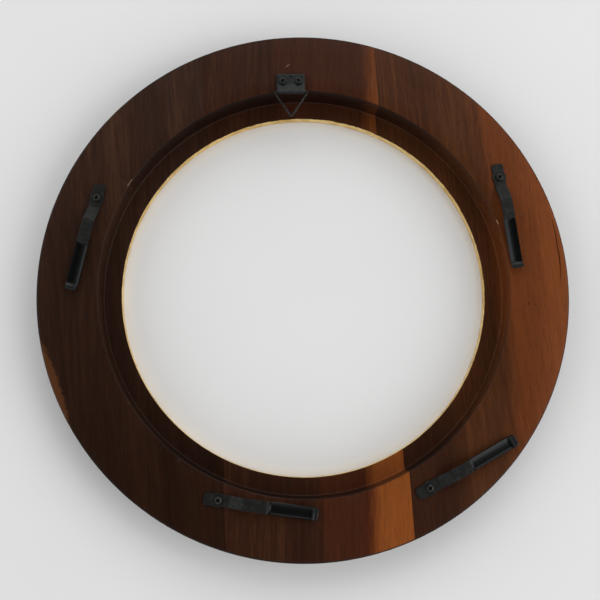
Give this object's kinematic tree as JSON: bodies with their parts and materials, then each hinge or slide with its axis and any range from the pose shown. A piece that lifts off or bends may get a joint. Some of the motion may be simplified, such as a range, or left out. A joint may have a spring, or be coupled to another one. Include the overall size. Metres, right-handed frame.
{
  "type": "round collector plate frame",
  "caption": "Round wooden frame for a collector plate, with a recessed back, a gilded sight edge, turning spring clips and a folded strap hanger with a triangular ring.",
  "frame": {"origin": "on the ring's axis, in the front plane that the frame lies on", "axes": "+Z along the ring's axis, out of its back; +Y towards the hanger; +X to the right, seen from the back"},
  "size_m": [0.287, 0.287, 0.027],
  "materials": {
    "walnut_board_side": "dark walnut stain under satin varnish",
    "walnut_board_middle": "dark walnut stain under satin varnish, with a strip of paler sapwood",
    "gold_paint": "gold paint over a thin coat of gesso",
    "black_spring_steel": "blackened spring steel, satin on the raised flat and glossy beyond it",
    "black_strap_steel": "satin black over thin steel strap",
    "dark_wire_steel": "blackened steel wire, slightly worn",
    "black_screw_steel": "black oxide"
  },
  "bodies": {
    "ring_frame": {"board_left": "walnut_board_side", "board_top": "walnut_board_middle", "board_right": "walnut_board_side", "board_bottom": "walnut_board_middle", "sight_gilding": "gold_paint", "clip_screw_upper_left": "black_screw_steel", "clip_screw_upper_right": "black_screw_steel", "clip_screw_lower_left": "black_screw_steel", "clip_screw_lower_right": "black_screw_steel", "hanger_strap": "black_strap_steel", "hanger_screw_left": "black_screw_steel", "hanger_screw_right": "black_screw_steel"},
    "clip_upper_left": {"clip_upper_left": "black_spring_steel"},
    "clip_upper_right": {"clip_upper_right": "black_spring_steel"},
    "clip_lower_left": {"clip_lower_left": "black_spring_steel"},
    "clip_lower_right": {"clip_lower_right": "black_spring_steel"},
    "hanger_ring": {"hanger_ring": "dark_wire_steel"}
  },
  "joints": [
    {"name": "clip_upper_left_turn", "type": "hinge", "parent": "ring_frame", "child": "clip_upper_left", "pos_m": [-0.1092, 0.05661, 0.0225], "axis": [0, 0, 1], "continuous": true},
    {"name": "clip_upper_right_turn", "type": "hinge", "parent": "ring_frame", "child": "clip_upper_right", "pos_m": [0.11137, 0.05408, 0.0225], "axis": [0, 0, 1], "continuous": true},
    {"name": "clip_lower_left_turn", "type": "hinge", "parent": "ring_frame", "child": "clip_lower_left", "pos_m": [-0.0534, -0.10758, 0.0225], "axis": [0, 0, 1], "continuous": true},
    {"name": "clip_lower_right_turn", "type": "hinge", "parent": "ring_frame", "child": "clip_lower_right", "pos_m": [0.0565, -0.10993, 0.0225], "axis": [0, 0, 1], "continuous": true},
    {"name": "hanger_ring_swing", "type": "hinge", "parent": "ring_frame", "child": "hanger_ring", "pos_m": [0, 0.1105, 0.02343], "axis": [-0.9985, 0.0541, 0], "range_deg": [-50, 140]}
  ]
}
